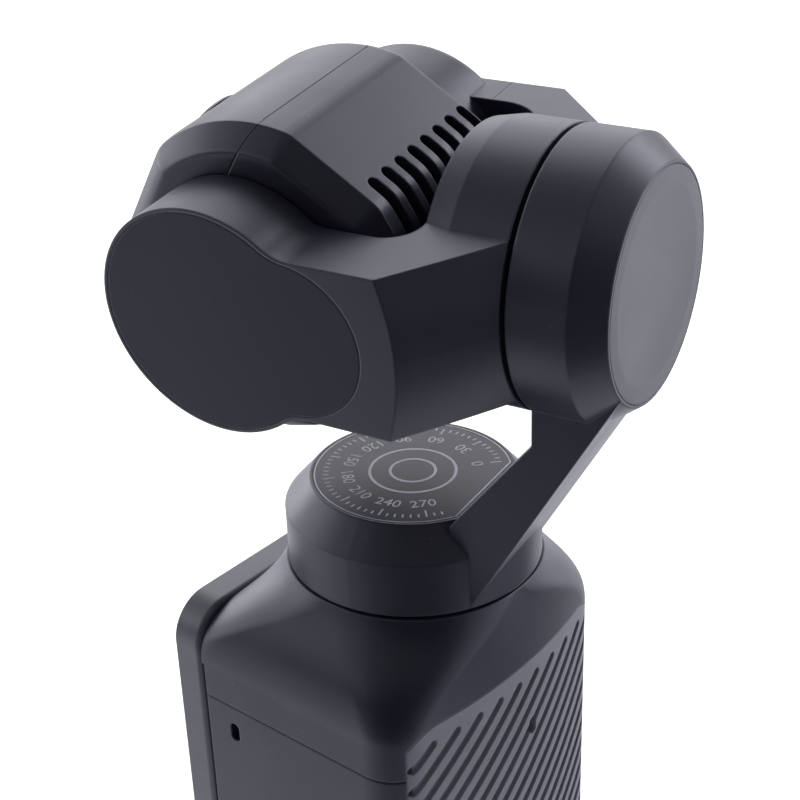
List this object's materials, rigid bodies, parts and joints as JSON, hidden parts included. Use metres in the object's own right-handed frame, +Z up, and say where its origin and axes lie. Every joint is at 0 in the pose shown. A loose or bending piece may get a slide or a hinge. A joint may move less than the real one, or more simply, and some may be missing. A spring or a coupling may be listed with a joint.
{
  "type": "pocket gimbal camera",
  "caption": "Pocket camera on a small motorised gimbal, with a slim hand grip, a turning screen, a joystick and a record button.",
  "frame": {"origin": "point where the pan axis meets the flat bottom face of the handle", "axes": "+Z up along the handle and the pan axis, -Y out of the screen, +Y out of the ribbed grip face, +X to the side of the covered tilt hub"},
  "size_m": [0.0435, 0.0494, 0.14],
  "materials": {
    "shell_plastic": "fine matt moulded plastic",
    "gimbal_plastic": "satin painted plastic",
    "cover_plastic": "flat matt cover",
    "cap_plastic": "satin cap",
    "grip_rubber": "soft grooved grip",
    "label_gloss": "polished dark plate",
    "fascia_plastic": "fine matt panel",
    "button_plastic": "soft touch button",
    "screen_plastic": "satin frame",
    "screen_glass": "dark cover glass",
    "display": "display module, off",
    "lens_metal": "dark anodised ring",
    "lens_glass": "coated lens",
    "inner_plastic": "inner moulded plastic",
    "steel": "turned steel",
    "rotor_metal": "machined aluminium",
    "winding": "laminated core and winding",
    "board": "circuit board",
    "battery": "pouch cell with foil jacket",
    "light": "light pipe"
  },
  "bodies": {
    "handle": {"handle_shell": "shell_plastic", "shoulder_cover": "shell_plastic", "grip_panel": "grip_rubber", "front_fascia": "fascia_plastic", "bottom_cap": "shell_plastic", "base_screws": "steel", "usb_c_shell": "steel", "usb_c_tongue": "inner_plastic", "main_board": "board", "battery_cell": "battery", "speaker_unit": "inner_plastic", "card_socket": "steel", "mic_capsules": "steel", "status_light": "light", "screen_bearing": "inner_plastic", "record_switch": "inner_plastic", "joystick_base": "inner_plastic", "pan_stator": "winding", "pan_bearing": "steel"},
    "screen": {"screen_frame": "screen_plastic", "display_panel": "display", "screen_glass": "screen_glass", "screen_pivot": "inner_plastic"},
    "record_key": {"record_button": "button_plastic"},
    "stick_ring": {"joystick_ring": "inner_plastic"},
    "stick_stem": {"joystick_stem": "steel"},
    "stick_cap": {"joystick_cap": "button_plastic"},
    "pan_body": {"pan_arm": "gimbal_plastic", "label_plate": "label_gloss", "roll_end_cap": "cap_plastic", "pan_rotor": "rotor_metal", "roll_stator": "winding", "roll_bearing": "steel"},
    "roll_body": {"yoke": "gimbal_plastic", "tilt_cover": "cover_plastic", "far_hub_housing": "gimbal_plastic", "tilt_near_bearing": "inner_plastic", "roll_rotor": "rotor_metal", "tilt_stator": "winding", "tilt_bearing": "steel"},
    "camera": {"camera_rear_housing": "gimbal_plastic", "camera_front_housing": "gimbal_plastic", "sensor_board": "board", "lens_ring": "lens_metal", "lens_barrel": "lens_metal", "front_lens": "lens_glass", "rear_lens": "lens_glass", "tilt_near_shaft": "steel", "tilt_rotor": "rotor_metal"}
  },
  "joints": [
    {"name": "pan", "type": "hinge", "parent": "handle", "child": "pan_body", "pos_m": [0, 0, 0.0961], "axis": [0, 0, 1], "range_deg": [-249.4, 53.6]},
    {"name": "roll", "type": "hinge", "parent": "pan_body", "child": "roll_body", "pos_m": [0, 0, 0.12448], "axis": [-0.1633, 0.9866, 0], "range_deg": [-226.2, 56.8]},
    {"name": "tilt", "type": "hinge", "parent": "roll_body", "child": "camera", "pos_m": [0.00135, -0.00818, 0.12448], "axis": [-0.9808, -0.1624, 0.108], "range_deg": [-211.3, 66.7]},
    {"name": "screen_turn", "type": "hinge", "parent": "handle", "child": "screen", "pos_m": [0, -0.0147, 0.0604], "axis": [0, 1, 0], "range_deg": [0, 90]},
    {"name": "record_press", "type": "slide", "parent": "handle", "child": "record_key", "axis": [0, 1, 0], "range_m": [0, 0.0005], "stiffness_N_per_m": 4000, "springref_m": -0.0002},
    {"name": "stick_up_down", "type": "hinge", "parent": "handle", "child": "stick_ring", "pos_m": [0, -0.0108, 0.0255], "axis": [1, 0, 0], "range_deg": [-6, 6], "stiffness_Nm_per_rad": 0.014},
    {"name": "stick_side", "type": "hinge", "parent": "stick_ring", "child": "stick_stem", "pos_m": [0, -0.0108, 0.0255], "axis": [0, 0, 1], "range_deg": [-6, 6], "stiffness_Nm_per_rad": 0.014},
    {"name": "stick_press", "type": "slide", "parent": "stick_stem", "child": "stick_cap", "axis": [0, 1, 0], "range_m": [0, 0.00035], "stiffness_N_per_m": 4300, "springref_m": -0.0001}
  ]
}
